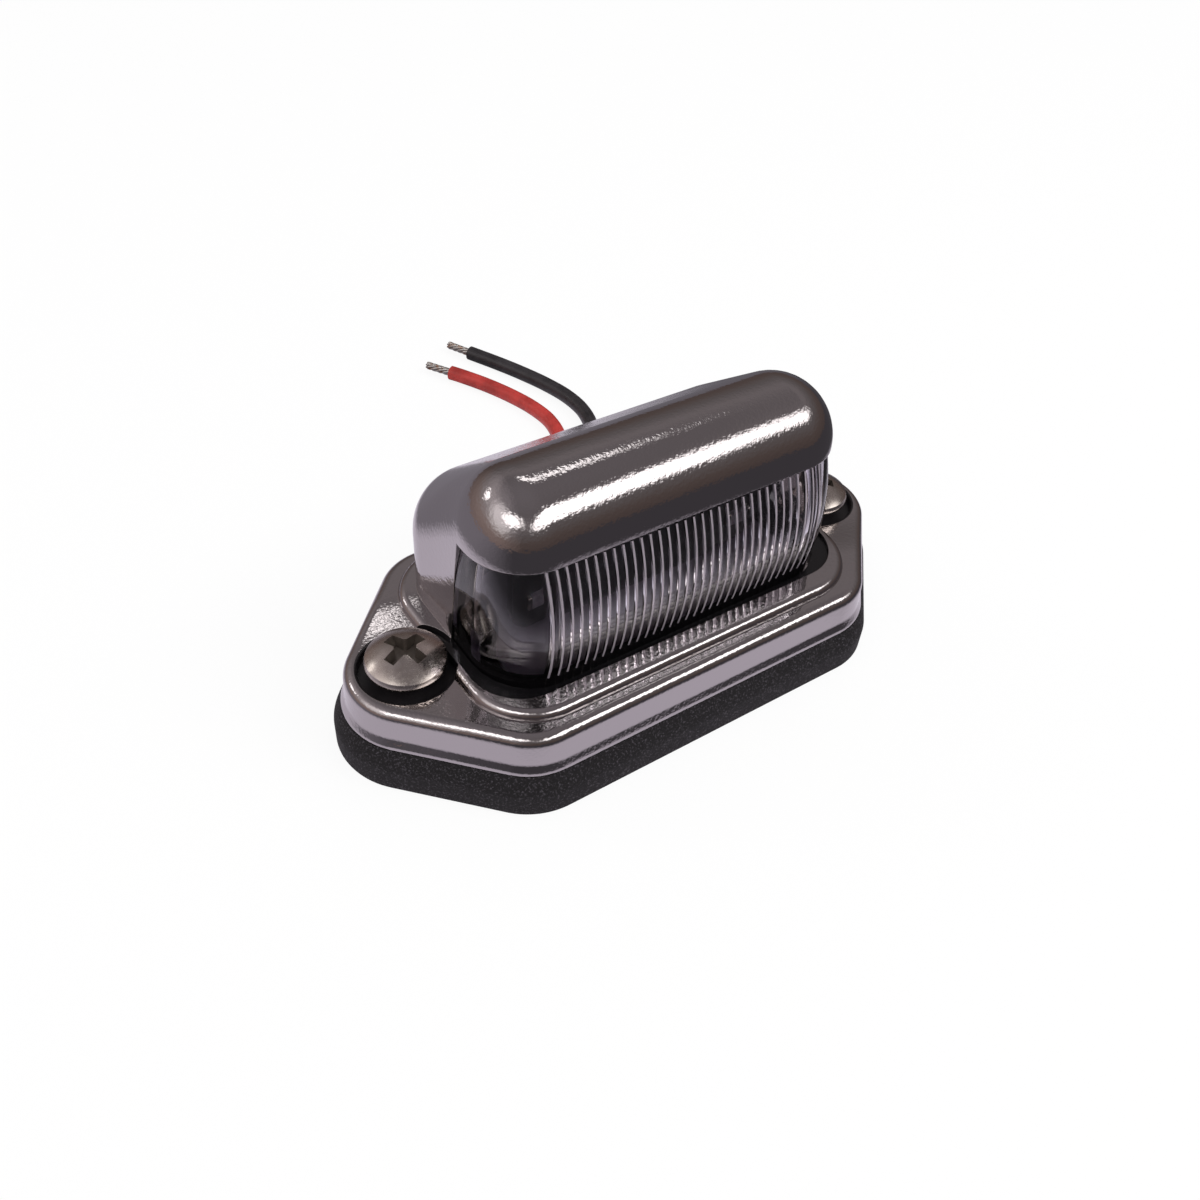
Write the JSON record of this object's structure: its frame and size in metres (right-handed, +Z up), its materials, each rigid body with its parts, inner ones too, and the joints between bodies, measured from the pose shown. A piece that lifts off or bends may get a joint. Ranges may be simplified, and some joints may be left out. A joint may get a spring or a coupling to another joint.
{
  "type": "number plate lamp",
  "caption": "Chromed number plate lamp with a hooded ribbed lens on a long six-sided base, a foam gasket, screws and two leads.",
  "frame": {"origin": "middle of the gasket's underside, on the surface that the lamp lies on", "axes": "+X along the long base, +Y from the lens towards the rear wall, +Z up, out of the mounting surface"},
  "size_m": [0.0668, 0.0787, 0.0298],
  "materials": {
    "chrome_plating": "bright chrome plating over a moulded housing, with a faint orange-peel grain",
    "clear_lens": "clear moulded plastic, glossy",
    "black_sealant": "black sealant, glossy",
    "board_black": "black solder mask, satin",
    "led_phosphor": "white diode housing with yellow phosphor",
    "chip_ceramic": "black chip with tinned ends",
    "potting_resin": "grey casting resin, satin",
    "foam_black": "closed-cell foam, matt, finely speckled",
    "screw_steel": "stainless steel, smooth",
    "wire_red": "soft red PVC insulation, satin",
    "wire_black": "soft black PVC insulation, satin",
    "tinned_copper": "tinned copper strands"
  },
  "bodies": {
    "root": {"housing": "chrome_plating", "lens": "clear_lens", "lens_seal": "black_sealant", "circuit_board": "board_black", "led_1": "led_phosphor", "led_2": "led_phosphor", "led_3": "led_phosphor", "led_4": "led_phosphor", "led_5": "led_phosphor", "led_6": "led_phosphor", "resistor_1": "chip_ceramic", "resistor_2": "chip_ceramic", "polarity_diode": "chip_ceramic", "potting": "potting_resin", "gasket": "foam_black", "screw_left": "screw_steel", "screw_right": "screw_steel", "lead_red": "wire_red", "lead_black": "wire_black", "lead_red_tip": "tinned_copper", "lead_black_tip": "tinned_copper"}
  },
  "joints": []
}
